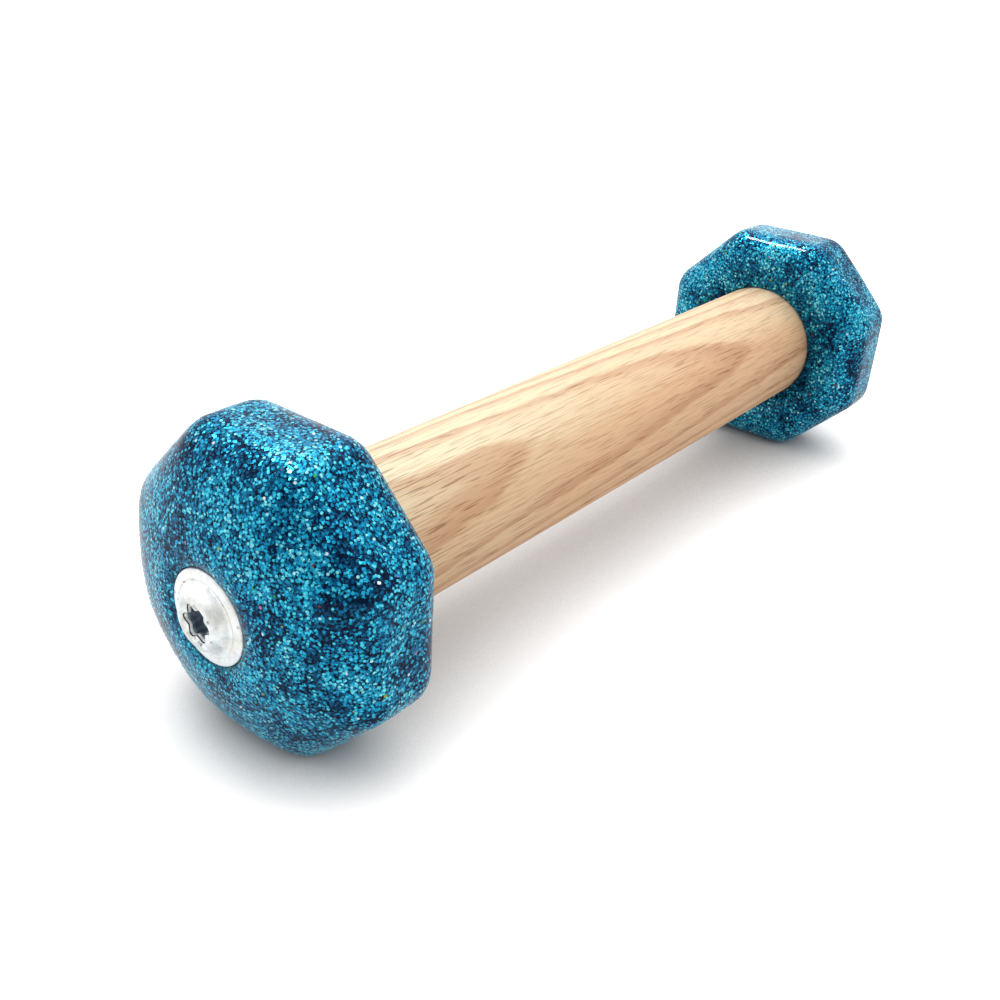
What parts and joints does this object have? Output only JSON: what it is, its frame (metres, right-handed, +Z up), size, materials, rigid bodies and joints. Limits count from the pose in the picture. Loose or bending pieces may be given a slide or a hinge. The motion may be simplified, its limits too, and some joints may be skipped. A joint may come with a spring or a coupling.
{
  "type": "retrieve dumbbell",
  "caption": "Dog-training retrieve dumbbell: round oak bar with an octagonal domed glitter-resin bell on each end, each held by a flange-head wood screw.",
  "frame": {"origin": "centre of the dumbbell's box, at its base, on the surface that the bells stand on", "axes": "+X along the bar towards the right bell, +Y level across the bar, +Z up"},
  "size_m": [0.1764, 0.047, 0.047],
  "materials": {
    "oak": "sanded, oiled oak",
    "glitter_resin": "clear cast epoxy full of blue glitter, glossy",
    "zinc_plated_steel": "satin zinc plating"
  },
  "bodies": {
    "root": {"oak_bar": "oak", "left_bell": "glitter_resin", "right_bell": "glitter_resin", "left_screw": "zinc_plated_steel", "right_screw": "zinc_plated_steel"}
  },
  "joints": []
}
